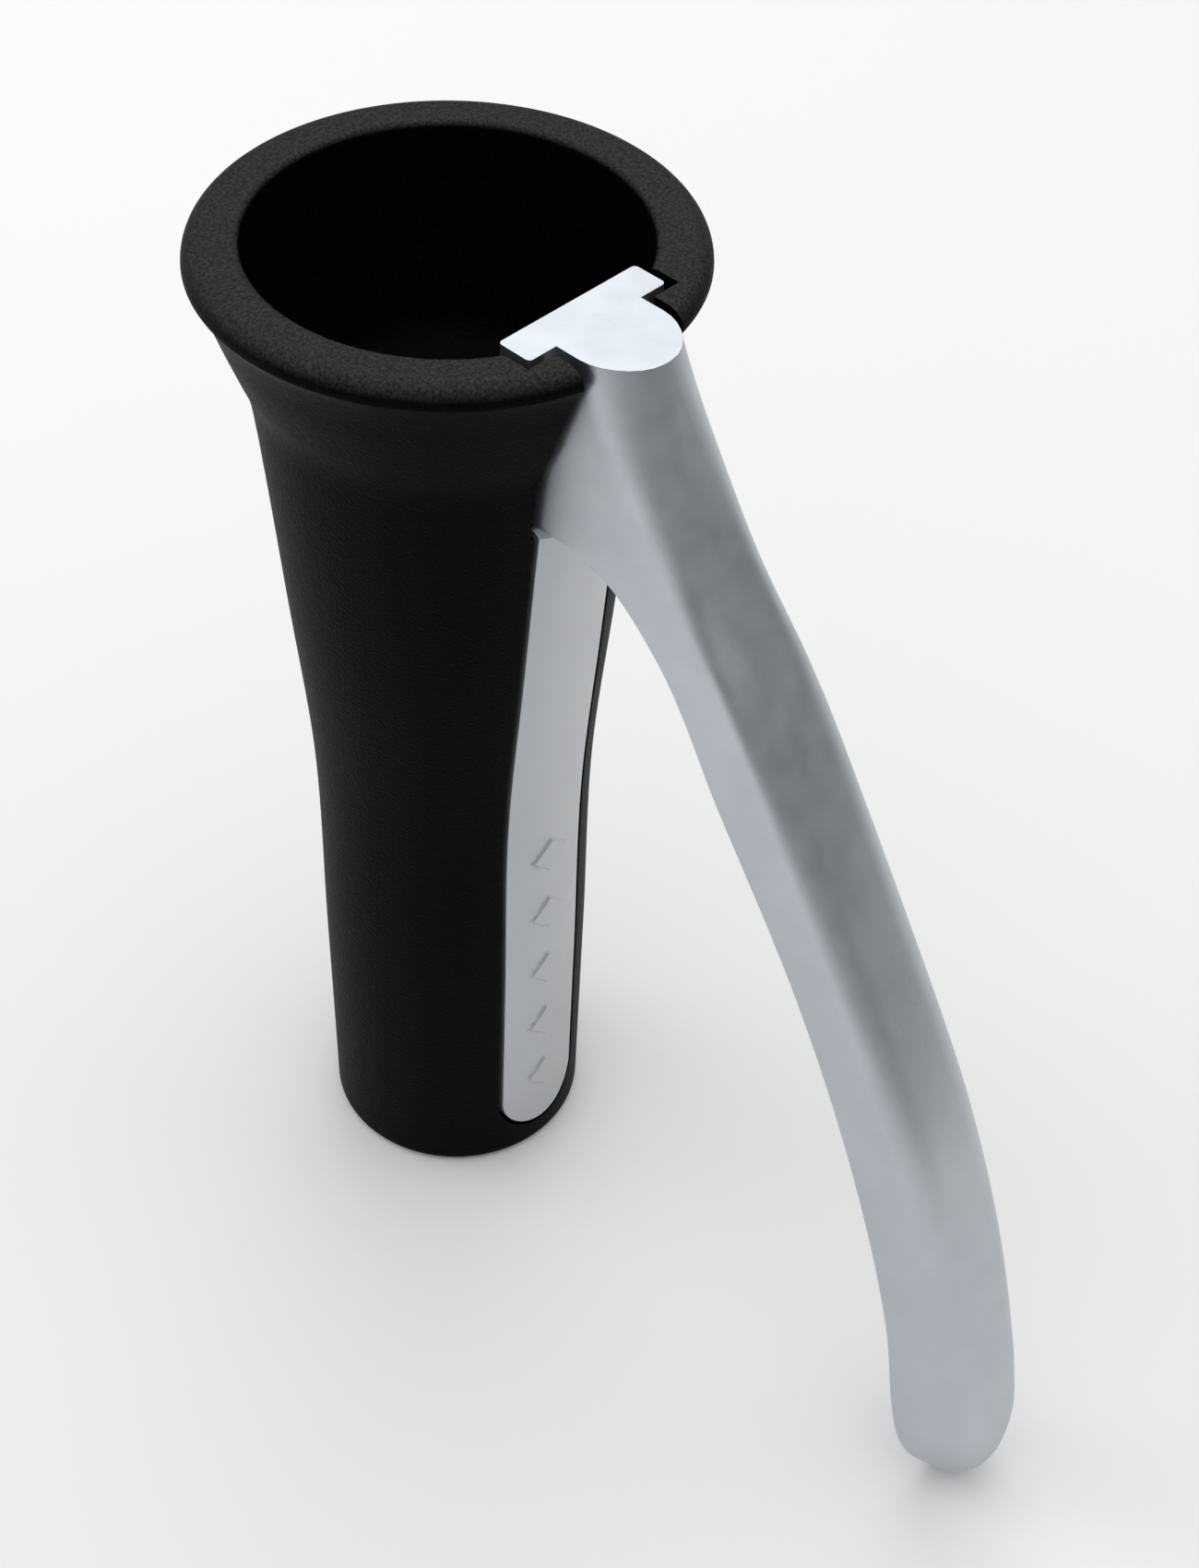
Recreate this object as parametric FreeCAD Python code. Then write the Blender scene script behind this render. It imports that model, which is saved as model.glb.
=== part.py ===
import FreeCAD, Part
import math
import os

from FreeCAD import Vector

# Hand-held nutcracker: a hollow bell-topped handle casting with a cup in its rim, and a cast
# lever whose T-shaped head hooks into the rim.  Squeezing the lever towards the handle swings
# its jaw into the cup.  Millimetres, +Z up, origin at the centre of the base, lever towards +X.

# ---------------------------------------------------------------- driving dimensions
BODY_HEIGHT = 158.0
BASE_RADIUS = 19.0
BASE_EDGE = 1.6
RIM_RADIUS = 32.5
RIM_EDGE = 2.6
LIP_EDGE = 1.0

CUP_MOUTH_RADIUS = 25.3
CUP_FLOOR_Z = 124.5
# Cup's inside from its floor to where it becomes a plain bore, as radius and height.
CUP_WALL = ((13.0, CUP_FLOOR_Z), (20.0, 128.6), (23.2, 137.5), (CUP_MOUTH_RADIUS, 150.0))

CAVITY_TOP_Z = 117.0
WALL = 4.2
POST_RADIUS = 5.0

SLOT_HALF_WIDTH = 8.4
SILL_Z = 129.0
SILL_ROUND = 4.0
SILL_INNER_X = 16.0
SILL_OUTER_X = 24.7
RECESS_HALF_WIDTH = 12.7
RECESS_OUTER_X = 26.5

PIVOT_X = 23.0
PIVOT_Z = 155.35
EAR_RADIUS = 2.65
EAR_FLAT_X = 25.5
EAR_HALF_LENGTH = 11.5
EAR_CORNER = 1.0
HINGE_CLEARANCE = 0.05

STRIP_HALF_WIDTH = 7.2
STRIP_THICKNESS = 2.0
STRIP_BOTTOM_Z = 5.0
STRIP_TOP_Z = 128.7
GROOVE_GAP = 0.7
GROOVE_FLOOR_GAP = 0.02
GROOVE_TOP_Z = 129.5
STUD_HEIGHTS = (34.0, 98.0)
STUD_RADIUS = 2.0
STUD_LENGTH = 6.5
STUD_HOLE_START_X = 8.0
STUD_HOLE_LENGTH = 20.0
PUSH_NUT_RADIUS = 4.6
PUSH_NUT_THICKNESS = 0.6
PUSH_NUT_INSET = 0.4
RELIEF_HEIGHT = 0.35
RELIEF_HEIGHTS = (16.0, 28.0, 40.0, 52.0, 64.0)
RELIEF_HALF_WIDTH = 3.6
RELIEF_HALF_LENGTH = 3.4

PAD_RADIUS = 16.2
PAD_THICKNESS = 2.0
PAD_GROOVE_RADII = (5.0, 9.0, 13.0)
PAD_GROOVE_HALF_WIDTH = 0.6
PAD_GROOVE_DEPTH = 0.5
PLUG_RADIUS = 16.2
PLUG_TOP_Z = 7.0
SEAT_CLEARANCE = 0.1
SCREW_RADIUS = 2.5
SCREW_HEAD_RADIUS = 4.6
SCREW_HEAD_HEIGHT = 2.6
SCREW_END_Z = 22.0
SOCKET_RADIUS = 2.2
SOCKET_DEPTH = 1.6

LEVER_HALF_WIDTH = 7.6
NECK_HALF_WIDTH = 7.1
LEVER_OUTER_EDGE = 4.0
LEVER_INNER_EDGE = 0.9
TIP_HEEL = (100.0, 0.3)
TIP_DEPTH = 9.0
TIP_TILT = 24.0
TIP_ROUND_LENGTH = 10.5
LEDGE_Z = 129.5
JAW_TOP_X = 20.35
JAW_BOTTOM_X = 19.6
JAW_FOOT = 1.5
NECK_OUTER_X = 30.0
TOOTH_DEPTH = 0.7
TOOTH_REACH = 0.8
TOOTH_HEIGHTS = (132.5, 136.0, 139.5, 143.0, 146.5, 150.0)

# Outside of the handle above the base, as radius and height.
TAPER = ((19.9, 74.5), (24.75, 131.0))
FLARE = ((24.75, 131.0), (25.9, 138.5), (27.4, 142.7), (30.6, 151.8), (RIM_RADIUS, BODY_HEIGHT - RIM_EDGE))

# Body-side and outer outlines of the lever arm, in the plane of its swing, down to its tip.
ARM_INSIDE = ((28.5, 129.5), (35.2, 127.7), (42.4, 122.3), (55.3, 103.4), (70.3, 80.6), (83.2, 54.7),
              (91.9, 30.0), TIP_HEEL)
ARM_OUTSIDE = ((36.6, BODY_HEIGHT), (45.0, 140.2), (60.6, 117.1), (77.2, 91.1), (94.3, 60.8), (104.1, 33.0),
               (107.9, 14.0))

Y_AXIS = Vector(0, 1, 0)
Z_AXIS = Vector(0, 0, 1)


# ---------------------------------------------------------------- helpers
def side(x, z):
    """Point in the plane of the lever's swing."""
    return Vector(x, 0, z)


def line(start, end):
    return Part.LineSegment(start, end).toShape()


def spline(points, first, last):
    """Smooth curve through the points, with its directions at both ends."""
    distances = [0.0]
    for near, far in zip(points, points[1:]):
        distances.append(distances[-1] + near.distanceToPoint(far))
    curve = Part.BSplineCurve()
    curve.interpolate(Points=points, Parameters=distances, Scale=False,
                      InitialTangent=first.normalize(), FinalTangent=last.normalize())
    return curve.toShape()


def revolve(edges):
    """Solid of revolution about the handle's axis, from a closed outline of edges."""
    face = Part.Face(Part.Wire(edges))
    return Part.makeSolid(face.revolve(Vector(0, 0, 0), Z_AXIS, 360))


def across(edges, half_width):
    """Solid from a closed outline in the plane of the swing, to both sides of that plane."""
    face = Part.Face(Part.Wire(edges))
    face.translate(Vector(0, -half_width, 0))
    return face.extrude(Vector(0, 2 * half_width, 0))


def polygon(points):
    corners = list(points) + [points[0]]
    return Part.makePolygon(corners).Edges


def box(x_range, half_width, z_range):
    return Part.makeBox(x_range[1] - x_range[0], 2 * half_width, z_range[1] - z_range[0],
                        Vector(x_range[0], -half_width, z_range[0]))


def disc(radius, low_z, high_z):
    return Part.makeCylinder(radius, high_z - low_z, Vector(0, 0, low_z), Z_AXIS)


def cross_bar(radius, half_length, x, z):
    """Round bar along Y."""
    return Part.makeCylinder(radius, 2 * half_length, Vector(x, -half_length, z), Y_AXIS)


def one_solid(shape):
    clean = shape.removeSplitter()
    return clean.Solids[0]


# ---------------------------------------------------------------- handle
def outside_edges(inset):
    """Handle's outside from the base up to the flare's top, moved inwards by the inset."""
    corners = [side(BASE_RADIUS - inset, 0)]
    corners += [side(radius - inset, z) for radius, z in TAPER]
    walls = [line(low, high) for low, high in zip(corners, corners[1:])]
    flare = [side(radius - inset, z) for radius, z in FLARE]
    return walls + [spline(flare, corners[2] - corners[1], Vector(0, 0, 1))]


def handle_envelope(inset):
    """Solid inside the handle's outer surface, up to the top of the rim."""
    edges = outside_edges(inset)
    shoulder = side(FLARE[-1][0] - inset, FLARE[-1][1])
    turn = RIM_EDGE * (1 - math.sin(math.pi / 4))
    middle = side(shoulder.x - turn, BODY_HEIGHT - turn)
    rim = side(shoulder.x - RIM_EDGE, BODY_HEIGHT)
    axis_top = side(0, BODY_HEIGHT)
    axis_foot = side(0, 0)
    edges += [Part.Arc(shoulder, middle, rim).toShape(), line(rim, axis_top), line(axis_top, axis_foot),
              line(axis_foot, side(BASE_RADIUS - inset, 0))]
    return revolve(edges)


def cup():
    """Space for the nut, open at the rim."""
    wall = [side(radius, z) for radius, z in CUP_WALL]
    mouth = side(CUP_MOUTH_RADIUS, BODY_HEIGHT)
    edges = [line(side(0, CUP_FLOOR_Z), wall[0]), spline(wall, Vector(1, 0, 0), Vector(0, 0, 1)),
             line(wall[-1], mouth), line(mouth, side(0, BODY_HEIGHT)),
             line(side(0, BODY_HEIGHT), side(0, CUP_FLOOR_Z))]
    return revolve(edges)


def cored_cavity():
    """Space inside the handle, around the post that the base screw holds on to."""
    knee_radius, knee_z = TAPER[0]
    slope = (TAPER[1][0] - knee_radius) / (TAPER[1][1] - knee_z)
    top_radius = knee_radius + slope * (CAVITY_TOP_Z - knee_z) - WALL
    corners = [side(0, PLUG_TOP_Z), side(BASE_RADIUS - WALL, PLUG_TOP_Z), side(knee_radius - WALL, knee_z),
               side(top_radius, CAVITY_TOP_Z), side(0, CAVITY_TOP_Z)]
    return revolve(polygon(corners)).cut(disc(POST_RADIUS, 0, BODY_HEIGHT))


def sill_cut():
    """Lever slot through the rim, with a rounded outer corner on its sill."""
    start = side(SILL_INNER_X, SILL_Z)
    turn = side(SILL_OUTER_X - SILL_ROUND, SILL_Z)
    inset = SILL_ROUND * (1 - math.sin(math.pi / 4))
    middle = side(SILL_OUTER_X - inset, SILL_Z - inset)
    end = side(SILL_OUTER_X, SILL_Z - SILL_ROUND)
    far = side(RIM_RADIUS + 8, SILL_Z - SILL_ROUND)
    edges = [line(start, turn), Part.Arc(turn, middle, end).toShape(), line(end, far),
             line(far, side(far.x, BODY_HEIGHT + 1)),
             line(side(far.x, BODY_HEIGHT + 1), side(SILL_INNER_X, BODY_HEIGHT + 1)),
             line(side(SILL_INNER_X, BODY_HEIGHT + 1), start)]
    return across(edges, SLOT_HALF_WIDTH)


def ear_recess():
    """Seat for the two ears of the lever's head: half-round below, square above."""
    seat_radius = EAR_RADIUS + HINGE_CLEARANCE
    seat = cross_bar(seat_radius, RECESS_HALF_WIDTH, PIVOT_X, PIVOT_Z)
    above = box((SILL_INNER_X, RECESS_OUTER_X), RECESS_HALF_WIDTH, (PIVOT_Z, BODY_HEIGHT + 1))
    inside = box((SILL_INNER_X, PIVOT_X), RECESS_HALF_WIDTH, (PIVOT_Z - seat_radius, BODY_HEIGHT + 1))
    return seat.fuse([above, inside])


def strip_outline(half_width, low_z, high_z):
    """Upright strip with a round lower end, as a thick block reaching in to the handle's axis."""
    centre_z = low_z + half_width
    straight = box((0, RIM_RADIUS), half_width, (centre_z, high_z))
    round_end = Part.makeCylinder(half_width, RIM_RADIUS, Vector(0, 0, centre_z), Vector(1, 0, 0))
    return straight.fuse(round_end)


def stud_bars(radius, from_x, length):
    return [Part.makeCylinder(radius, length, Vector(from_x, 0, z), Vector(1, 0, 0)) for z in STUD_HEIGHTS]


def stud_x(z):
    """Inner face of the strip at a stud's height."""
    knee_radius, knee_z = TAPER[0]
    if z < knee_z:
        radius = BASE_RADIUS + (knee_radius - BASE_RADIUS) * z / knee_z
    else:
        radius = knee_radius + (TAPER[1][0] - knee_radius) * (z - knee_z) / (TAPER[1][1] - knee_z)
    return radius - STRIP_THICKNESS


def body_casting():
    solid = handle_envelope(0)
    foot = [edge for edge in solid.Edges if edge.BoundBox.ZMax < 0.01 and edge.BoundBox.XMax > 15]
    solid = solid.makeFillet(BASE_EDGE, foot)
    solid = solid.cut(cup())
    lip = [edge for edge in solid.Edges if edge.BoundBox.ZMin > BODY_HEIGHT - 0.01
           and abs(edge.BoundBox.XMax - CUP_MOUTH_RADIUS) < 0.01]
    solid = solid.makeFillet(LIP_EDGE, lip)
    groove_floor = handle_envelope(STRIP_THICKNESS + GROOVE_FLOOR_GAP)
    groove = strip_outline(STRIP_HALF_WIDTH + GROOVE_GAP, STRIP_BOTTOM_Z - GROOVE_GAP, GROOVE_TOP_Z)
    solid = solid.cut(groove.cut(groove_floor))
    solid = solid.cut([cored_cavity(), sill_cut(), ear_recess()])
    solid = solid.cut([disc(PLUG_RADIUS + SEAT_CLEARANCE, -1, PLUG_TOP_Z),
                       disc(SCREW_RADIUS, PLUG_TOP_Z - 1, SCREW_END_Z + 1)])
    for bar in stud_bars(STUD_RADIUS + SEAT_CLEARANCE, STUD_HOLE_START_X, STUD_HOLE_LENGTH):
        solid = solid.cut(bar)
    return one_solid(solid)


# ---------------------------------------------------------------- front strip and its fixings
def front_strip():
    shell = handle_envelope(0).cut(handle_envelope(STRIP_THICKNESS))
    strip = shell.common(strip_outline(STRIP_HALF_WIDTH, STRIP_BOTTOM_Z, STRIP_TOP_Z))
    strip = strip.cut(sill_cut())
    raised = handle_envelope(-RELIEF_HEIGHT).cut(handle_envelope(STRIP_THICKNESS / 2))
    for z in RELIEF_HEIGHTS:
        corners = [Vector(0, -RELIEF_HALF_WIDTH, z), Vector(0, 0, z + RELIEF_HALF_LENGTH),
                   Vector(0, RELIEF_HALF_WIDTH, z), Vector(0, 0, z - RELIEF_HALF_LENGTH)]
        lozenge = Part.Face(Part.Wire(polygon(corners))).extrude(Vector(RIM_RADIUS, 0, 0))
        strip = strip.fuse(raised.common(lozenge))
    return one_solid(strip)


def strip_studs():
    """Two weld studs on the back of the strip, through holes in the handle's wall."""
    studs = []
    for z in STUD_HEIGHTS:
        start = Vector(stud_x(z) - STUD_LENGTH, 0, z)
        studs.append(Part.makeCylinder(STUD_RADIUS, STUD_LENGTH, start, Vector(1, 0, 0)))
    back = handle_envelope(STRIP_THICKNESS)
    return Part.makeCompound([stud.common(back).Solids[0] for stud in studs])


def strip_push_nuts():
    """Spring washers pushed on to the studs inside the handle."""
    nuts = []
    for z in STUD_HEIGHTS:
        start = Vector(stud_x(z) - STUD_LENGTH + PUSH_NUT_INSET, 0, z)
        washer = Part.makeCylinder(PUSH_NUT_RADIUS, PUSH_NUT_THICKNESS, start, Vector(1, 0, 0))
        hole = Part.makeCylinder(STUD_RADIUS, PUSH_NUT_THICKNESS, start, Vector(1, 0, 0))
        nuts.append(washer.cut(hole))
    return Part.makeCompound(nuts)


# ---------------------------------------------------------------- base
def base_plug():
    plug = disc(PLUG_RADIUS, PAD_THICKNESS, PLUG_TOP_Z)
    head_top = PAD_THICKNESS + SCREW_HEAD_HEIGHT
    return plug.cut([disc(SCREW_RADIUS + SEAT_CLEARANCE, 0, PLUG_TOP_Z + 1),
                     disc(SCREW_HEAD_RADIUS + SEAT_CLEARANCE, 0, head_top)])


def base_screw():
    """Cap screw with a hexagonal socket."""
    head_top = PAD_THICKNESS + SCREW_HEAD_HEIGHT
    screw = disc(SCREW_HEAD_RADIUS, PAD_THICKNESS, head_top).fuse(disc(SCREW_RADIUS, head_top, SCREW_END_Z))
    corners = [Vector(SOCKET_RADIUS * math.cos(math.radians(60 * corner)),
                      SOCKET_RADIUS * math.sin(math.radians(60 * corner)), PAD_THICKNESS)
               for corner in range(7)]
    socket = Part.Face(Part.makePolygon(corners)).extrude(Vector(0, 0, SOCKET_DEPTH))
    return one_solid(screw.cut(socket))


def foot_pad():
    """Non-slip disc, with ring grooves in its underside."""
    pad = disc(PAD_RADIUS, 0, PAD_THICKNESS)
    for radius in PAD_GROOVE_RADII:
        outer = disc(radius + PAD_GROOVE_HALF_WIDTH, 0, PAD_GROOVE_DEPTH)
        pad = pad.cut(outer.cut(disc(radius - PAD_GROOVE_HALF_WIDTH, 0, PAD_GROOVE_DEPTH)))
    return pad


# ---------------------------------------------------------------- lever
def lever_arm():
    """Curved arm from the jaw down to its tip, which is rounded to both sides like a paddle."""
    tilt = math.radians(TIP_TILT)
    downwards = Vector(math.sin(tilt), 0, -math.cos(tilt))
    outwards = Vector(math.cos(tilt), 0, math.sin(tilt))
    inside = [side(x, z) for x, z in ARM_INSIDE]
    heel = inside[-1]
    toe = heel + outwards * TIP_DEPTH
    outside = [toe] + [side(x, z) for x, z in reversed(ARM_OUTSIDE)]
    inner_top = side(inside[0].x, BODY_HEIGHT)
    arm = across([spline(inside, Vector(1, 0, 0), Vector(downwards)), line(heel, toe),
                  spline(outside, Vector(0.05, 0, 1), Vector(-0.4, 0, 1)),
                  line(outside[-1], inner_top), line(inner_top, inside[0])], LEVER_HALF_WIDTH)
    near = heel - downwards * TIP_ROUND_LENGTH - outwards * TIP_DEPTH
    through = outwards * (3 * TIP_DEPTH)
    reach = downwards * (2 * TIP_ROUND_LENGTH)
    block_corners = [near, near + through, near + through + reach, near + reach]
    end_block = across(polygon(block_corners), LEVER_HALF_WIDTH + 1)
    ellipse = Part.Ellipse(near + downwards * TIP_ROUND_LENGTH, near + Y_AXIS * LEVER_HALF_WIDTH, near)
    round_end = Part.Face(Part.Wire(ellipse.toShape())).extrude(through)
    return arm.cut(end_block.cut(round_end))


def long_face_edges(arm, number):
    """Edges round the arm's inner (0) or outer (-1) face, except the one at its upper end."""
    long_faces = [face for face in arm.Faces if face.BoundBox.ZLength > BODY_HEIGHT / 2]
    long_faces.sort(key=lambda face: face.CenterOfMass.x)
    return [edge for edge in long_faces[number].Edges if edge.BoundBox.ZLength > 1]


def neck():
    """Block in the rim's slot, carrying the jaw on its cup side."""
    corners = [side(JAW_TOP_X, BODY_HEIGHT), side(JAW_BOTTOM_X, LEDGE_Z + JAW_FOOT),
               side(JAW_BOTTOM_X + JAW_FOOT, LEDGE_Z), side(NECK_OUTER_X, LEDGE_Z),
               side(NECK_OUTER_X, BODY_HEIGHT)]
    block = across(polygon(corners), NECK_HALF_WIDTH)
    lean = (JAW_TOP_X - JAW_BOTTOM_X) / (BODY_HEIGHT - LEDGE_Z)
    for z in TOOTH_HEIGHTS:
        face_x = JAW_BOTTOM_X + lean * (z - LEDGE_Z)
        mouth_x = face_x - 0.1
        groove = polygon([side(mouth_x, z - TOOTH_REACH), side(face_x + TOOTH_DEPTH, z),
                          side(mouth_x, z + TOOTH_REACH)])
        block = block.cut(across(groove, NECK_HALF_WIDTH + 1))
    return block


def ears():
    """Bar across the head: half-round under the pivot line, square above it."""
    square = box((PIVOT_X - EAR_RADIUS, EAR_FLAT_X), EAR_HALF_LENGTH, (PIVOT_Z, BODY_HEIGHT))
    upright = [edge for edge in square.Edges if edge.BoundBox.ZLength > 1 and edge.BoundBox.XLength < 0.01]
    square = square.makeFillet(EAR_CORNER, upright)
    trunnion = cross_bar(EAR_RADIUS, EAR_HALF_LENGTH, PIVOT_X, PIVOT_Z)
    rims = [edge for edge in trunnion.Edges if edge.BoundBox.YLength < 0.01]
    trunnion = trunnion.makeFillet(EAR_CORNER, rims)
    return square.fuse(trunnion)


def lever():
    arm = lever_arm()
    arm = arm.makeFillet(LEVER_OUTER_EDGE, long_face_edges(arm, -1))
    arm = arm.makeFillet(LEVER_INNER_EDGE, long_face_edges(arm, 0))
    return one_solid(arm.fuse([neck(), ears()]))


# ---------------------------------------------------------------- output
NODES = {
    "body_casting": body_casting,
    "front_strip": front_strip,
    "strip_studs": strip_studs,
    "strip_push_nuts": strip_push_nuts,
    "base_plug": base_plug,
    "base_screw": base_screw,
    "foot_pad": foot_pad,
    "lever": lever,
}

os.makedirs("parts", exist_ok=True)
for node, make in NODES.items():
    shape = make()
    shape.exportStep("parts/" + node + ".step")
    print(node, len(shape.Solids), shape.isValid(), round(shape.Volume, 1))
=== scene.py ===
"""Looks of a hand-held nutcracker: a black bell-topped handle with a nut cup in its rim, a satin
strip let into its front, and a bead-blasted lever hooked into the rim.  Metres throughout; the
millimetre sizes below are scaled by MM.  +Z is up and the lever is on the +X side."""

import math

import bmesh
import bpy
import numpy as np
from mathutils import Matrix, Vector


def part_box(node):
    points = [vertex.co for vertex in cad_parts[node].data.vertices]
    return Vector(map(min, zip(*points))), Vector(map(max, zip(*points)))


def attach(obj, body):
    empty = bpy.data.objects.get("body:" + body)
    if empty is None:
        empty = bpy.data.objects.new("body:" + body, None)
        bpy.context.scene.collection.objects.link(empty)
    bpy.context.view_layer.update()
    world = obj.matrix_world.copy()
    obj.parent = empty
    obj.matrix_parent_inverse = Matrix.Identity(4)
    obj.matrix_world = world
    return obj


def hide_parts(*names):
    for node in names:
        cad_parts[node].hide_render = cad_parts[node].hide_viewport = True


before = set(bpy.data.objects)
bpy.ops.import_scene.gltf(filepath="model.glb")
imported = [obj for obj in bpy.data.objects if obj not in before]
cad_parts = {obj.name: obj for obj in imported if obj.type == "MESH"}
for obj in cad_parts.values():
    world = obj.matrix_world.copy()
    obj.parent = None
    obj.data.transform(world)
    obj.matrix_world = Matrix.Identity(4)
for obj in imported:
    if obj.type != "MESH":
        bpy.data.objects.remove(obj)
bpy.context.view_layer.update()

MM = 0.001

# ---------------------------------------------------------------- sizes in millimetres
BODY_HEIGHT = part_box("body_casting")[1][2] / MM
BASE_RADIUS = 19.0
BASE_EDGE = 1.6
RIM_RADIUS = 32.5
RIM_EDGE = 2.6
LIP_EDGE = 1.0
CUP_MOUTH_RADIUS = 25.3
CUP_FLOOR_Z = 124.5
RIM_TOP_RADII = (29.0, 28.0, 27.2)
CUP_FLOOR_RADII = (9.0, 5.0)
AXIS_BORE_RADIUS = 0.5
PLUG_TOP_Z = 7.0
PLUG_SEAT_RADIUS = 16.3
SCREW_HOLE_RADIUS = 2.5
SCREW_HOLE_TOP_Z = 23.0
POST_RADIUS = 5.0
CAVITY_TOP_Z = 117.0
CAVITY_WALL = ((18.7, CAVITY_TOP_Z), (15.7, 74.5), (14.8, PLUG_TOP_Z))

# Outside and cup of the handle, as radius and height.
OUTSIDE = ((19.0, 1.6), (19.45, 38.0), (19.9, 74.5), (22.3, 102.5), (24.37, 126.5), (24.85, 131.5),
           (25.9, 138.5), (27.4, 142.7), (29.0, 147.2), (30.6, 151.8), (31.6, 154.0), (32.5, 155.4))
CUP_WALL = ((13.0, 124.5), (20.0, 128.6), (23.2, 137.5), (25.3, 150.0))

SLOT_HALF_WIDTH = 8.4
SILL_Z = 129.0
SILL_ROUND = 4.0
SILL_OUTER_X = 24.7
RECESS_HALF_WIDTH = 12.7
RECESS_OUTER_X = 26.5
PIVOT = (23.0, 155.35)
SEAT_RADIUS = 2.7
CUTTER_INNER_X = 12.0
CUTTER_OUTER_X = 45.0
CUTTER_TOP_Z = 165.0

STRIP_HALF_WIDTH = 7.2
STRIP_THICKNESS = 2.0
STRIP_BOTTOM_Z = 5.0
STRIP_TOP_Z = 128.7
GROOVE_GAP = 0.7
GROOVE_FLOOR_GAP = 0.02
GROOVE_TOP_Z = 129.5
GROOVE_CUTTER_PROUD = 3.0
RELIEF_HEIGHT = 0.35
RELIEF_HEIGHTS = (16.0, 28.0, 40.0, 52.0, 64.0)
RELIEF_HALF_WIDTH = 3.6
RELIEF_HALF_LENGTH = 3.4
RELIEF_TOP_SCALE = 0.84
SLAB_COLUMNS = 24
SLAB_ROWS = 120
SLAB_END_ROWS = 20

EAR_RADIUS = 2.65
EAR_HALF_LENGTH = 11.5
EAR_FLAT_X = 25.5
LEVER_HALF_WIDTH = 7.6
NECK_HALF_WIDTH = 7.1
LEVER_OUTER_EDGE = 4.0
LEVER_INNER_EDGE = 0.9
TONGUE_EDGE = 6.6
JAW_EDGE = 0.5
EAR_EDGE = 0.9
HEAD_TOP_EDGE = 0.55
CROWN = 0.9
TIP_ROUND_LENGTH = 10.5
TOOTH_HEIGHTS = (132.5, 136.0, 139.5, 143.0, 146.5, 150.0)
TOOTH_DEPTH = 0.7
TOOTH_REACH = 0.8

# Side outlines of the lever, from its flat top to its tip: jaw and inner side, and outer side.
LEVER_INSIDE = ((20.35, 158.0), (20.1, 149.5), (19.85, 141.0), (19.62, 132.5), (20.1, 130.1), (21.6, 129.5),
                (25.0, 129.5), (28.5, 129.5), (35.2, 127.7), (42.4, 122.3), (55.3, 103.4), (70.3, 80.6),
                (83.2, 54.7), (91.9, 30.0), (95.9, 11.0), (100.0, 0.3))
LEVER_OUTSIDE = ((36.6, 158.0), (40.6, 149.0), (45.0, 140.2), (60.6, 117.1), (77.2, 91.1), (94.3, 60.8),
                 (104.1, 33.0), (107.9, 14.0), (108.2, 4.0))
# Lengths along the two outlines, from the top, that one cross-section joins; the last pair counts
# back from the tip.
JAW_FOOT_RIB = (26.5, 21.5)
LEDGE_RIB = (36.4, 33.6)
TIP_RIB = (10.5, 11.5)
JAW_STEP = 0.25
ARM_STEP = 1.2
TIP_STEPS = 16

# Lengths along the inner outline between which the neck widens into the arm.
NECK_TO_ARM = (30.0, 60.0)
CORNER_POINTS = 8
FLANK_STEPS = 8
FACE_STEPS = 10

HANDLE_TURNS = 192
HANDLE_EDGE = 0.35
STRIP_EDGE = 0.3
SHARP_ANGLE = math.radians(40.0)
BEVEL_ANGLE = math.radians(35.0)


# ---------------------------------------------------------------- curves
def smooth(points, steps):
    """Points along a smooth curve through the given ones, with directions weighted by distance."""
    known = [np.array(point, dtype=float) for point in points]
    gaps = [float(np.linalg.norm(far - near)) for near, far in zip(known, known[1:])]
    slopes = [(far - near) / gap for near, far, gap in zip(known, known[1:], gaps)]
    leads = [slopes[0]]
    for number in range(1, len(slopes)):
        before, after = gaps[number - 1], gaps[number]
        leads.append((slopes[number - 1] * after + slopes[number] * before) / (before + after))
    leads.append(slopes[-1])
    path = []
    for number, gap in enumerate(gaps):
        for step in range(steps):
            t = step / steps
            place = ((2 * t ** 3 - 3 * t ** 2 + 1) * known[number]
                     + (3 * t ** 2 - 2 * t ** 3) * known[number + 1])
            lead = (t ** 3 - 2 * t ** 2 + t) * leads[number] + (t ** 3 - t ** 2) * leads[number + 1]
            path.append(place + gap * lead)
    path.append(known[-1])
    return path


def arc(centre, radius, first, last, steps):
    """Points on a circle between two angles in degrees."""
    middle = np.array(centre)
    angles = np.radians(np.linspace(first, last, steps + 1))
    return [middle + radius * np.array((math.cos(angle), math.sin(angle))) for angle in angles]


# ---------------------------------------------------------------- mesh helpers
def new_object(name, verts, faces):
    """Object from points in millimetres, with its doubles merged and its faces turned outwards."""
    mesh = bpy.data.meshes.new(name)
    mesh.from_pydata([tuple(float(value) * MM for value in vert) for vert in verts], [], faces)
    shape = bmesh.new()
    shape.from_mesh(mesh)
    bmesh.ops.remove_doubles(shape, verts=shape.verts, dist=0.002 * MM)
    bmesh.ops.recalc_face_normals(shape, faces=shape.faces)
    shape.to_mesh(mesh)
    shape.free()
    piece = bpy.data.objects.new(name, mesh)
    bpy.context.scene.collection.objects.link(piece)
    return piece


def lathe(name, profile, turns):
    """Closed solid of revolution about Z, from a closed outline of (radius, height)."""
    verts = []
    for turn in range(turns):
        angle = 2 * math.pi * (turn + 0.5) / turns
        verts += [(r * math.cos(angle), r * math.sin(angle), z) for r, z in profile]
    count = len(profile)
    faces = []
    for turn in range(turns):
        here, there = turn * count, (turn + 1) % turns * count
        faces += [(here + i, there + i, there + (i + 1) % count, here + (i + 1) % count)
                  for i in range(count)]
    return new_object(name, verts, faces)


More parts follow.
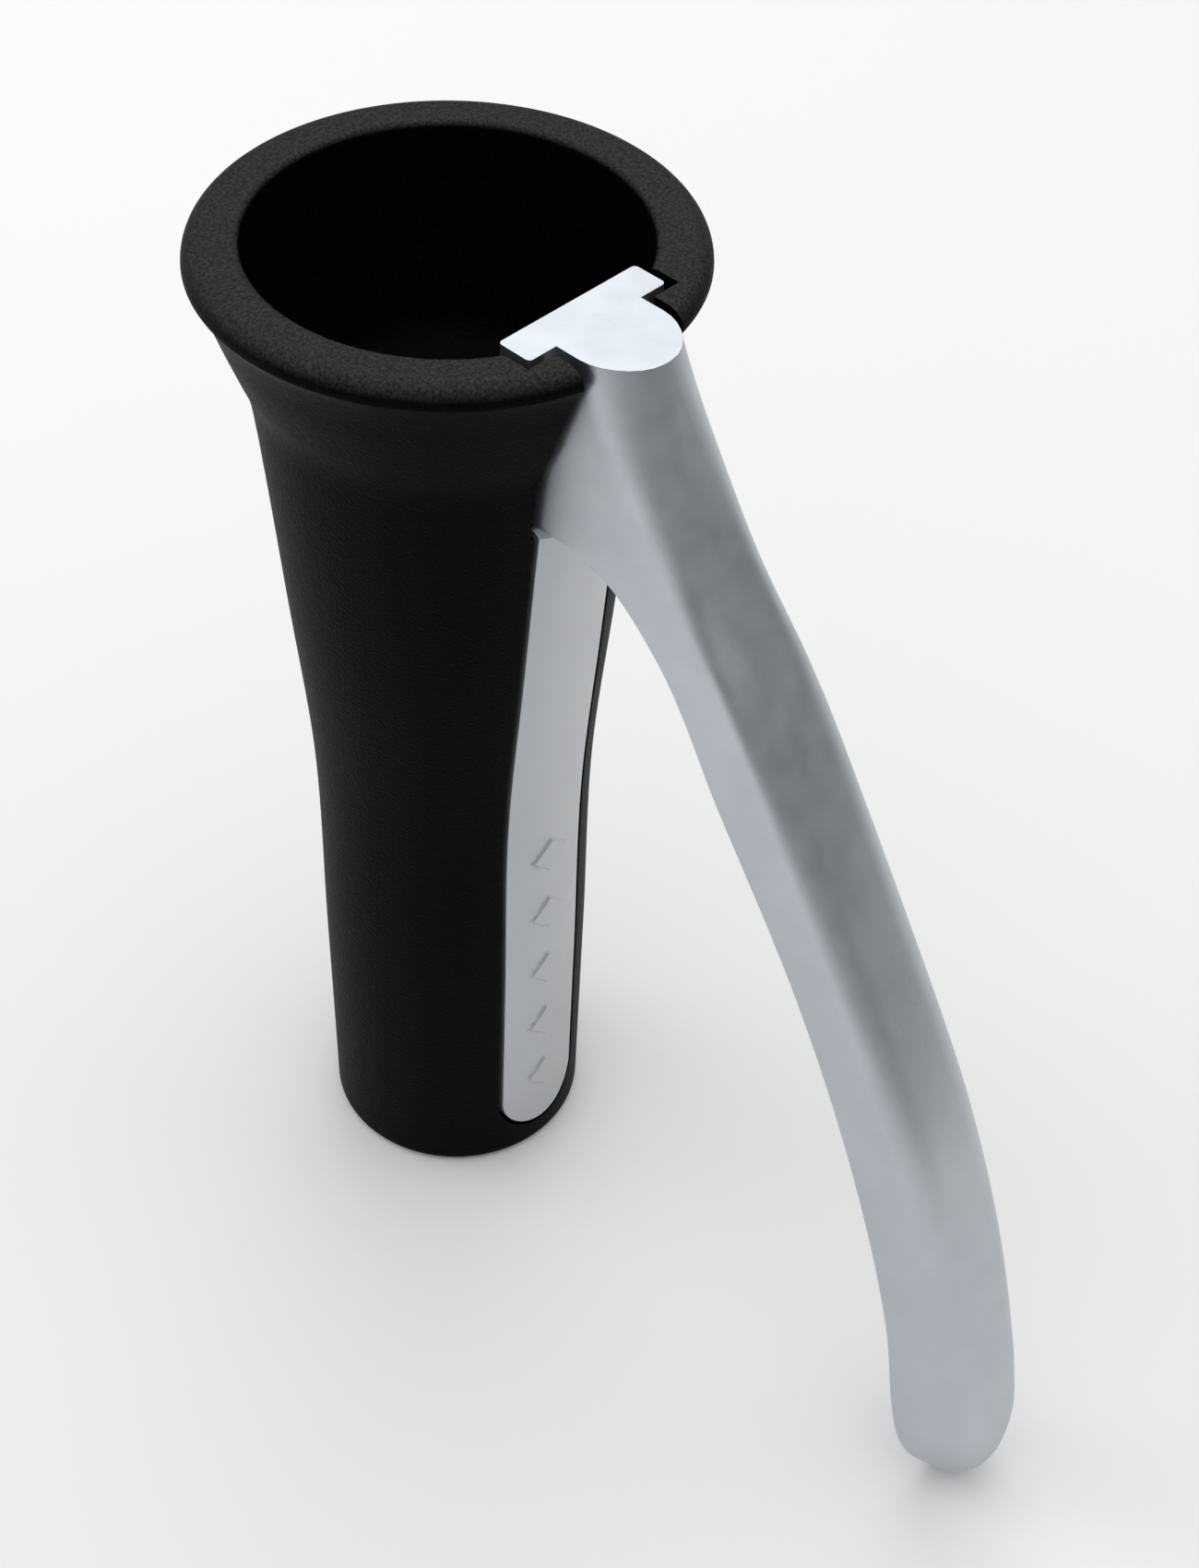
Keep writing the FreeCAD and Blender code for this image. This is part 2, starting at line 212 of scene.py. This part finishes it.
def prism(name, outline, half_width):
    """Outline in the XZ plane, drawn out to both sides of it."""
    count = len(outline)
    verts = [(x, -half_width, z) for x, z in outline] + [(x, half_width, z) for x, z in outline]
    faces = [(i, (i + 1) % count, count + (i + 1) % count, count + i) for i in range(count)]
    faces += [tuple(range(count)), tuple(range(count, 2 * count))]
    return new_object(name, verts, faces)


def loft(name, sections):
    """Closed skin over rings of equal length, with its two ends capped."""
    count = len(sections[0])
    verts = [vert for section in sections for vert in section]
    faces = []
    for ring in range(len(sections) - 1):
        low, high = ring * count, (ring + 1) * count
        faces += [(low + i, low + (i + 1) % count, high + (i + 1) % count, high + i) for i in range(count)]
    faces += [tuple(range(count)), tuple(range((len(sections) - 1) * count, len(sections) * count))]
    return new_object(name, verts, faces)


def combine(piece, tool, operation):
    """Boolean with a tool that is then thrown away."""
    modifier = piece.modifiers.new("cut", "BOOLEAN")
    modifier.operation = operation
    modifier.solver = "EXACT"
    modifier.object = tool
    apply_modifiers(piece)
    bpy.data.objects.remove(tool)


def apply_modifiers(piece):
    """Puts the result of a piece's modifiers into its mesh."""
    bpy.context.view_layer.update()
    evaluated = piece.evaluated_get(bpy.context.evaluated_depsgraph_get())
    mesh = bpy.data.meshes.new_from_object(evaluated)
    piece.modifiers.clear()
    piece.data = mesh


def soften(piece, width):
    """Small rounding on every sharp edge."""
    bevel = piece.modifiers.new("edges", "BEVEL")
    bevel.width = width * MM
    bevel.segments = 3
    bevel.limit_method = "ANGLE"
    bevel.angle_limit = BEVEL_ANGLE
    bevel.use_clamp_overlap = True
    apply_modifiers(piece)


def round_edges(piece, radius, segments, height, below=False):
    """Rounding on the sharp edges above a height, or on those that aren't wholly above it."""
    shape = bmesh.new()
    shape.from_mesh(piece.data)
    bmesh.ops.remove_doubles(shape, verts=shape.verts, dist=0.002 * MM)
    sharp = [edge for edge in shape.edges if edge.is_manifold and edge.calc_face_angle() > SHARP_ANGLE
             and all(vert.co.z > height * MM for vert in edge.verts) != below]
    bmesh.ops.bevel(shape, geom=sharp, offset=radius * MM, segments=segments, profile=0.5, affect="EDGES",
                    clamp_overlap=True)
    shape.to_mesh(piece.data)
    shape.free()


def shade_smooth(piece):
    """Smooth shading that keeps large faces flat."""
    for face in piece.data.polygons:
        face.use_smooth = True
    piece.data.set_sharp_from_angle(angle=SHARP_ANGLE)
    weighted = piece.modifiers.new("flat_faces", "WEIGHTED_NORMAL")
    weighted.mode = "FACE_AREA"
    weighted.keep_sharp = True
    apply_modifiers(piece)


def finish_piece(piece, material, body, node):
    piece.data.materials.clear()
    piece.data.materials.append(material)
    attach(piece, body)
    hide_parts(node)


# ---------------------------------------------------------------- materials
class Surface:
    """A principled material with short calls for its procedural nodes."""

    def __init__(self, name, metallic, roughness):
        self.material = bpy.data.materials.new(name)
        self.material.use_nodes = True
        self.tree = self.material.node_tree
        self.shader = self.tree.nodes["Principled BSDF"]
        self.shader.inputs["Metallic"].default_value = metallic
        self.shader.inputs["Roughness"].default_value = roughness
        self.place = self.tree.nodes.new("ShaderNodeTexCoord").outputs["Object"]

    def link(self, source, target):
        self.tree.links.new(source, target)

    def noise(self, scale, detail=3.0):
        node = self.tree.nodes.new("ShaderNodeTexNoise")
        node.inputs["Scale"].default_value = scale
        node.inputs["Detail"].default_value = detail
        self.link(self.place, node.inputs["Vector"])
        return node.outputs["Fac"]

    def grains(self, scale):
        node = self.tree.nodes.new("ShaderNodeTexVoronoi")
        node.inputs["Scale"].default_value = scale
        self.link(self.place, node.inputs["Vector"])
        return node.outputs["Distance"]

    def ramp(self, source, stops):
        node = self.tree.nodes.new("ShaderNodeValToRGB")
        while len(node.color_ramp.elements) < len(stops):
            node.color_ramp.elements.new(0.5)
        for element, (position, color) in zip(node.color_ramp.elements, stops):
            element.position = position
            element.color = (*color, 1.0)
        self.link(source, node.inputs["Fac"])
        return node.outputs["Color"]

    def spread(self, source, low, high):
        """From low to high over the usual range of a noise."""
        node = self.tree.nodes.new("ShaderNodeMapRange")
        node.inputs["From Min"].default_value = 0.3
        node.inputs["From Max"].default_value = 0.7
        node.inputs["To Min"].default_value = low
        node.inputs["To Max"].default_value = high
        self.link(source, node.inputs["Value"])
        return node.outputs["Result"]

    def between(self, source, low, high):
        """From 0 to 1 as the source goes from low to high."""
        node = self.tree.nodes.new("ShaderNodeMapRange")
        node.inputs["From Min"].default_value = low
        node.inputs["From Max"].default_value = high
        self.link(source, node.inputs["Value"])
        return node.outputs["Result"]

    def times(self, first, second):
        node = self.tree.nodes.new("ShaderNodeMath")
        node.operation = "MULTIPLY"
        self.link(first, node.inputs[0])
        self.link(second, node.inputs[1])
        return node.outputs["Value"]

    def mix(self, share, first, second):
        node = self.tree.nodes.new("ShaderNodeMixRGB")
        self.link(share, node.inputs["Fac"])
        self.link(first, node.inputs["Color1"])
        self.link(second, node.inputs["Color2"])
        return node.outputs["Color"]

    def color(self, source):
        self.link(source, self.shader.inputs["Base Color"])

    def rough(self, source):
        self.link(source, self.shader.inputs["Roughness"])

    def bump(self, source, strength, distance, under=None):
        node = self.tree.nodes.new("ShaderNodeBump")
        node.inputs["Strength"].default_value = strength
        node.inputs["Distance"].default_value = distance
        self.link(source, node.inputs["Height"])
        if under:
            self.link(under, node.inputs["Normal"])
        self.link(node.outputs["Normal"], self.shader.inputs["Normal"])
        return node.outputs["Normal"]


def black_coat():
    """Black powder coat: smooth and deep on the walls, pebbled, and painted greyer on the up-facing top of
    the rim as painted top light.
    """
    surface = Surface("black_coat", 0.0, 0.5)
    surface.shader.inputs["Specular IOR Level"].default_value = 0.035
    geometry = surface.tree.nodes.new("ShaderNodeNewGeometry")
    facing = surface.tree.nodes.new("ShaderNodeSeparateXYZ")
    surface.link(geometry.outputs["Normal"], facing.inputs["Vector"])
    height = surface.tree.nodes.new("ShaderNodeSeparateXYZ")
    surface.link(surface.place, height.inputs["Vector"])
    # Painted top light: surfaces on top of the rim that face upwards take the lighter grey tone, which
    # stands in for the overhead light falling on them.
    painted_top_light_share = surface.between(facing.outputs["Z"], 0.35, 0.85)
    rim = surface.times(painted_top_light_share, surface.between(height.outputs["Z"], 0.150, 0.152))
    speckle = surface.noise(2400.0)
    walls = surface.ramp(speckle, ((0.35, (0.0006, 0.0006, 0.0006)), (0.7, (0.0024, 0.0024, 0.0023))))
    top = surface.ramp(speckle, ((0.35, (0.012, 0.012, 0.0115)), (0.7, (0.042, 0.042, 0.040))))
    surface.color(surface.mix(rim, walls, top))
    surface.rough(surface.spread(speckle, 0.44, 0.56))
    coarse = surface.bump(surface.noise(2300.0, 2.0), 0.75, 0.00018)
    surface.bump(surface.noise(5200.0, 2.0), 0.4, 0.00005, coarse)
    return surface.material


def satin_metal(name, dark, light, low_rough, high_rough, grain):
    """Bead-blasted light alloy: an even, fine frosting with faint clouding."""
    surface = Surface(name, 1.0, low_rough)
    surface.color(surface.ramp(surface.noise(60.0, 4.0), ((0.3, dark), (0.7, light))))
    surface.rough(surface.spread(surface.noise(220.0), low_rough, high_rough))
    frost = surface.bump(surface.noise(grain, 2.0), 0.35, 0.00004)
    surface.bump(surface.grains(grain * 0.6), 0.12, 0.00003, frost)
    return surface.material


def steel():
    """Plain fastener steel with fine drawn lines."""
    surface = Surface("fastener_steel", 1.0, 0.3)
    tone = surface.ramp(surface.noise(300.0), ((0.3, (0.42, 0.42, 0.43)), (0.7, (0.58, 0.58, 0.59))))
    surface.color(tone)
    surface.rough(surface.spread(surface.noise(800.0), 0.25, 0.4))
    surface.bump(surface.noise(2500.0), 0.2, 0.00003)
    return surface.material


def black_polymer(name, low_rough, high_rough, grain):
    """Moulded black plastic or rubber."""
    surface = Surface(name, 0.0, low_rough)
    tone = surface.ramp(surface.noise(400.0), ((0.3, (0.012, 0.012, 0.013)), (0.7, (0.028, 0.028, 0.029))))
    surface.color(tone)
    surface.rough(surface.spread(surface.noise(500.0), low_rough, high_rough))
    surface.bump(surface.noise(grain), 0.4, 0.00006)
    return surface.material


# ---------------------------------------------------------------- handle
def outside_profile(inset):
    return [(radius - inset, z) for radius, z in smooth(OUTSIDE, 10)]


def outside_radius(z, inset):
    profile = outside_profile(inset)
    return float(np.interp(z, [point[1] for point in profile], [point[0] for point in profile]))


def handle_outline():
    """Closed outline of the casting: outside, rim, cup, then down its fine axis bore and up and
    down the walls of its core."""
    foot = arc((BASE_RADIUS - BASE_EDGE, BASE_EDGE), BASE_EDGE, 270, 360, 6)
    rim = arc((RIM_RADIUS - RIM_EDGE, BODY_HEIGHT - RIM_EDGE), RIM_EDGE, 0, 90, 10)
    flat = [(radius, BODY_HEIGHT) for radius in RIM_TOP_RADII]
    lip = arc((CUP_MOUTH_RADIUS + LIP_EDGE, BODY_HEIGHT - LIP_EDGE), LIP_EDGE, 90, 180, 6)
    cup_wall = list(reversed(smooth(CUP_WALL, 10)))
    floor = [(radius, CUP_FLOOR_Z) for radius in (*CUP_FLOOR_RADII, AXIS_BORE_RADIUS)]
    core = [(AXIS_BORE_RADIUS, SCREW_HOLE_TOP_Z), (SCREW_HOLE_RADIUS, SCREW_HOLE_TOP_Z),
            (SCREW_HOLE_RADIUS, PLUG_TOP_Z), (POST_RADIUS, PLUG_TOP_Z), (POST_RADIUS, CAVITY_TOP_Z),
            *CAVITY_WALL, (PLUG_SEAT_RADIUS, PLUG_TOP_Z), (PLUG_SEAT_RADIUS, 0.0)]
    return foot + outside_profile(0)[1:] + rim[1:] + flat + lip + cup_wall + floor + core


def slab_row(row, half_width, low_z, high_z):
    """Height and half width of one row of a slab, whose lower end is round."""
    centre_z = low_z + half_width
    if row <= SLAB_END_ROWS:
        turn = math.radians(90 * row / SLAB_END_ROWS)
        return centre_z - half_width * math.cos(turn), half_width * max(math.sin(turn), 0.02)
    share = (row - SLAB_END_ROWS) / (SLAB_ROWS - SLAB_END_ROWS)
    return centre_z + (high_z - centre_z) * share, half_width


def curved_slab(name, half_width, low_z, high_z, inner_inset, outer_inset):
    """Upright slab that follows the handle's outside, with a round lower end."""
    grid = []
    for row in range(SLAB_ROWS + 1):
        z, width = slab_row(row, half_width, low_z, high_z)
        grid += [(width * (2 * column / SLAB_COLUMNS - 1), z) for column in range(SLAB_COLUMNS + 1)]

    def layer(inset):
        return [(math.sqrt(outside_radius(z, inset) ** 2 - y ** 2), y, z) for y, z in grid]

    verts = layer(outer_inset) + layer(inner_inset)
    columns, half = SLAB_COLUMNS + 1, len(grid)
    faces = []
    for row in range(SLAB_ROWS):
        for column in range(SLAB_COLUMNS):
            corner = row * columns + column
            quad = (corner, corner + 1, corner + columns + 1, corner + columns)
            faces += [quad, tuple(half + index for index in reversed(quad))]
    border = list(range(columns)) + [row * columns + SLAB_COLUMNS for row in range(1, SLAB_ROWS + 1)]
    border += [SLAB_ROWS * columns + column for column in reversed(range(SLAB_COLUMNS))]
    border += [row * columns for row in reversed(range(1, SLAB_ROWS))]
    for here, there in zip(border, border[1:] + border[:1]):
        faces.append((here, there, half + there, half + here))
    return new_object(name, verts, faces)


def slot_tool():
    """Lever slot through the rim, with a rounded outer corner on its sill."""
    sill = arc((SILL_OUTER_X - SILL_ROUND, SILL_Z - SILL_ROUND), SILL_ROUND, 90, 0, 8)
    outline = [(CUTTER_INNER_X, SILL_Z)] + sill
    outline += [(CUTTER_OUTER_X, SILL_Z - SILL_ROUND), (CUTTER_OUTER_X, CUTTER_TOP_Z),
                (CUTTER_INNER_X, CUTTER_TOP_Z)]
    return prism("slot_tool", outline, SLOT_HALF_WIDTH)


def recess_tool():
    """Seat for the lever's ears: half-round below, square above."""
    seat = arc(PIVOT, SEAT_RADIUS, 270, 360, 10)
    outline = [(CUTTER_INNER_X, PIVOT[1] - SEAT_RADIUS)] + seat
    outline += [(RECESS_OUTER_X, PIVOT[1]), (RECESS_OUTER_X, CUTTER_TOP_Z), (CUTTER_INNER_X, CUTTER_TOP_Z)]
    return prism("recess_tool", outline, RECESS_HALF_WIDTH)


def build_handle():
    handle = lathe("handle_casting", handle_outline(), HANDLE_TURNS)
    groove = curved_slab("groove_tool", STRIP_HALF_WIDTH + GROOVE_GAP, STRIP_BOTTOM_Z - GROOVE_GAP,
                         GROOVE_TOP_Z, STRIP_THICKNESS + GROOVE_FLOOR_GAP, -GROOVE_CUTTER_PROUD)
    combine(handle, groove, "DIFFERENCE")
    combine(handle, slot_tool(), "DIFFERENCE")
    combine(handle, recess_tool(), "DIFFERENCE")
    soften(handle, HANDLE_EDGE)
    shade_smooth(handle)
    finish_piece(handle, black_coat(), "handle", "body_casting")


# ---------------------------------------------------------------- strip
def lozenge(centre_z):
    """Raised lozenge with sloping sides, sunk into the strip."""
    corners = ((0.0, 1.0), (1.0, 0.0), (0.0, -1.0), (-1.0, 0.0))
    border = []
    for start, end in zip(corners, corners[1:] + corners[:1]):
        border += [(start[0] + (end[0] - start[0]) * t, start[1] + (end[1] - start[1]) * t)
                   for t in (0.0, 0.25, 0.5, 0.75)]
    verts = []
    rings = ((1.0, STRIP_THICKNESS / 2), (1.0, 0.0), (RELIEF_TOP_SCALE, -RELIEF_HEIGHT),
             (0.0, -RELIEF_HEIGHT))
    for scale, inset in rings:
        for across, up in border:
            y, z = across * scale * RELIEF_HALF_WIDTH, centre_z + up * scale * RELIEF_HALF_LENGTH
            verts.append((math.sqrt(outside_radius(z, inset) ** 2 - y ** 2), y, z))
    count = len(border)
    faces = [tuple(range(count))]
    for ring_number in range(len(rings) - 1):
        low = ring_number * count
        faces += [(low + i, low + (i + 1) % count, low + count + (i + 1) % count, low + count + i)
                  for i in range(count)]
    return new_object("lozenge", verts, faces)


def build_strip():
    strip = curved_slab("inlaid_strip", STRIP_HALF_WIDTH, STRIP_BOTTOM_Z, STRIP_TOP_Z, STRIP_THICKNESS, 0.0)
    combine(strip, slot_tool(), "DIFFERENCE")
    soften(strip, STRIP_EDGE)
    for height in RELIEF_HEIGHTS:
        combine(strip, lozenge(height), "UNION")
    shade_smooth(strip)
    material = satin_metal("satin_strip", (0.55, 0.565, 0.58), (0.57, 0.585, 0.60), 0.46, 0.5, 2600.0)
    finish_piece(strip, material, "handle", "front_strip")


# ---------------------------------------------------------------- lever
def ring(inner, outer, half_width, inner_corner, outer_corner, crown):
    """One closed cross-section of the lever, between its inner and outer edge points."""
    inner, outer = np.array(inner, dtype=float), np.array(outer, dtype=float)
    depth = float(np.linalg.norm(outer - inner))
    along = (outer - inner) / depth
    low = min(inner_corner, 0.48 * depth, 0.95 * half_width)
    high = min(outer_corner, 0.48 * depth, 0.95 * half_width)
    points = []

    def corner(centre_y, centre_d, radius, first, last):
        for angle in np.radians(np.linspace(first, last, CORNER_POINTS)):
            points.append((centre_y + radius * math.cos(angle), centre_d + radius * math.sin(angle)))

    def straight(start, end, steps):
        for step in range(1, steps):
            t = step / steps
            points.append((start[0] + (end[0] - start[0]) * t, start[1] + (end[1] - start[1]) * t))

    bulge = min(crown, 0.3 * depth)
    top = depth - bulge
    high = min(high, 0.48 * top)
    corner(half_width - low, low, low, -90, 0)
    straight((half_width, low), (half_width, top - high), FLANK_STEPS)
    corner(half_width - high, top - high, high, 0, 90)
    straight((half_width - high, top), (high - half_width, top), FACE_STEPS)
    corner(high - half_width, top - high, high, 90, 180)
    straight((-half_width, top - high), (-half_width, low), FLANK_STEPS)
    corner(low - half_width, low, low, 180, 270)
    straight((low - half_width, 0.0), (half_width - low, 0.0), FACE_STEPS)
    section = []
    for y, d in points:
        raised = bulge * max(d / top, 0.0) ** 3 * (1 - (y / half_width) ** 2)
        place = inner + along * (d + raised)
        section.append((place[0], y, place[1]))
    return section


def tooth_depth(z):
    """How far the jaw's face is cut back at a height by its cross grooves."""
    nearest = min(abs(z - height) for height in TOOTH_HEIGHTS)
    return TOOTH_DEPTH * max(1.0 - nearest / TOOTH_REACH, 0.0)


def lengths_along(path):
    steps = [float(np.linalg.norm(far - near)) for near, far in zip(path, path[1:])]
    return np.concatenate(([0.0], np.cumsum(steps)))


def point_at(path, lengths, length):
    return np.array([np.interp(length, lengths, [point[axis] for point in path]) for axis in (0, 1)])


def ease(value, start, end):
    """From 0 to 1 between two places, with a soft start and end."""
    share = min(max((value - start) / (end - start), 0.0), 1.0)
    return share * share * (3 - 2 * share)


def rounding(distance, radius):
    """How far a rounded corner of that radius lies back, at a distance from its end."""
    missing = max(radius - distance, 0.0)
    return radius - math.sqrt(radius ** 2 - missing ** 2)


def lever_sections():
    """Rings of the lever from its flat top to the end of its paddle-shaped tip."""
    inner, outer = smooth(LEVER_INSIDE, 16), smooth(LEVER_OUTSIDE, 16)
    inner_lengths, outer_lengths = lengths_along(inner), lengths_along(outer)
    tip_start = inner_lengths[-1] - TIP_RIB[0]
    ribs = ((0.0, 0.0), JAW_FOOT_RIB, LEDGE_RIB, (tip_start, outer_lengths[-1] - TIP_RIB[1]),
            (inner_lengths[-1], outer_lengths[-1]))
    jaw_end, arm_start = JAW_FOOT_RIB[0], LEDGE_RIB[0]
    places = list(np.linspace(0.0, jaw_end, round(jaw_end / JAW_STEP), endpoint=False))
    places += list(np.linspace(jaw_end, arm_start, round((arm_start - jaw_end) / JAW_STEP), endpoint=False))
    arm_count = round((tip_start - arm_start) / ARM_STEP)
    places += list(np.linspace(arm_start, tip_start, arm_count, endpoint=False))
    places += [inner_lengths[-1] - TIP_RIB[0] * (1 - math.sin(math.pi / 2 * step / TIP_STEPS))
               for step in range(TIP_STEPS)]
    sections = []
    for place in places:
        match = np.interp(place, [rib[0] for rib in ribs], [rib[1] for rib in ribs])
        start, end = point_at(inner, inner_lengths, place), point_at(outer, outer_lengths, match)
        from_tip = inner_lengths[-1] - place
        width = NECK_HALF_WIDTH + (LEVER_HALF_WIDTH - NECK_HALF_WIDTH) * ease(place, *NECK_TO_ARM)
        if from_tip < TIP_ROUND_LENGTH:
            width *= math.sqrt(1 - (1 - from_tip / TIP_ROUND_LENGTH) ** 2)
        along = (end - start) / np.linalg.norm(end - start)
        end = end - along * rounding(from_tip, LEVER_OUTER_EDGE)
        start = start + along * rounding(from_tip, LEVER_INNER_EDGE)
        if place < jaw_end:
            start = start + np.array((tooth_depth(start[1]), 0.0))
        inner_edge = JAW_EDGE + (LEVER_INNER_EDGE - JAW_EDGE) * ease(place, *NECK_TO_ARM)
        outer_edge = TONGUE_EDGE + (LEVER_OUTER_EDGE - TONGUE_EDGE) * ease(place, 0.0, NECK_TO_ARM[0])
        sections.append(ring(start, end, width, inner_edge, outer_edge, CROWN))
    return sections


def build_lever():
    lever = loft("lever_casting", lever_sections())
    ear_outline = arc(PIVOT, EAR_RADIUS, 180, 360, 16)
    ear_outline += [(EAR_FLAT_X, PIVOT[1] + 0.3), (EAR_FLAT_X, BODY_HEIGHT),
                    (PIVOT[0] - EAR_RADIUS, BODY_HEIGHT)]
    ears = prism("ear_tool", ear_outline, EAR_HALF_LENGTH)
    round_edges(ears, EAR_EDGE, 5, BODY_HEIGHT - 0.5, below=True)
    combine(lever, ears, "UNION")
    round_edges(lever, HEAD_TOP_EDGE, 4, BODY_HEIGHT - 0.2)
    shade_smooth(lever)
    material = satin_metal("satin_casting", (0.505, 0.535, 0.575), (0.545, 0.575, 0.615),
                           0.38, 0.44, 2200.0)
    finish_piece(lever, material, "lever", "lever")


# ---------------------------------------------------------------- small CAD pieces
def dress_small_pieces():
    metal = steel()
    finishes = {
        "strip_studs": metal,
        "strip_push_nuts": metal,
        "base_screw": metal,
        "base_plug": black_polymer("moulded_plug", 0.5, 0.62, 1800.0),
        "foot_pad": black_polymer("foot_rubber", 0.7, 0.85, 1200.0),
    }
    for node, material in finishes.items():
        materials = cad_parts[node].data.materials
        materials.clear()
        materials.append(material)


# ---------------------------------------------------------------- studio
def build_floor():
    half = 3.0 / MM
    corners = ((-half, -half, 0), (half, -half, 0), (half, half, 0), (-half, half, 0))
    floor = new_object("floor", corners, [(0, 1, 2, 3)])
    surface = Surface("floor_paper", 0.0, 0.75)
    surface.shader.inputs["Specular IOR Level"].default_value = 0.2
    surface.color(surface.ramp(surface.noise(3.0), ((0.3, (0.86, 0.86, 0.86)), (0.7, (0.88, 0.88, 0.88)))))
    surface.bump(surface.noise(900.0), 0.05, 0.00005)
    floor.data.materials.append(surface.material)


def area_light(name, place, target, size, power):
    """Rectangular lamp at a place in metres, turned to its target."""
    light = bpy.data.lights.new(name, "AREA")
    light.shape = "RECTANGLE"
    light.size, light.size_y = size
    light.energy = power
    lamp = bpy.data.objects.new(name, light)
    bpy.context.scene.collection.objects.link(lamp)
    lamp.location = place
    lamp.rotation_euler = (Vector(target) - Vector(place)).to_track_quat("-Z", "Y").to_euler()


def build_lights():
    world = bpy.data.worlds.new("studio")
    bpy.context.scene.world = world
    world.use_nodes = True
    background = world.node_tree.nodes["Background"]
    background.inputs["Color"].default_value = (0.97, 0.985, 1.0, 1.0)
    background.inputs["Strength"].default_value = 0.12
    middle = (0.02, 0.0, 0.06)
    area_light("overhead", (-0.1, 0.15, 1.0), (-0.1, 0.15, 0.0), (3.0, 3.0), 31.5)
    area_light("behind", (-0.5, 0.58, 0.9), middle, (0.7, 0.7), 1.4)
    area_light("left", (-0.9, -0.5, 0.5), middle, (0.6, 0.8), 2.0)


def build_camera():
    """Camera at the angle from which the object is looked at, rolled slightly."""
    place = Vector((0.2084, -0.1968, 0.3462))
    forward = Vector((-0.4812, 0.5265, -0.7009)).normalized()
    roll = math.radians(2.31)
    level = forward.cross(Vector((0, 0, 1))).normalized()
    upright = level.cross(forward)
    right = math.cos(roll) * level + math.sin(roll) * upright
    above = math.cos(roll) * upright - math.sin(roll) * level
    camera = bpy.data.cameras.new("camera")
    camera.sensor_width = 36.0
    camera.lens = 63.5
    camera.clip_start = 0.01
    holder = bpy.data.objects.new("camera", camera)
    bpy.context.scene.collection.objects.link(holder)
    holder.matrix_world = Matrix.Translation(place) @ Matrix((right, above, -forward)).transposed().to_4x4()
    bpy.context.scene.camera = holder


build_handle()
build_strip()
build_lever()
dress_small_pieces()
build_floor()
build_lights()
build_camera()
bpy.context.scene.view_settings.view_transform = "Standard"
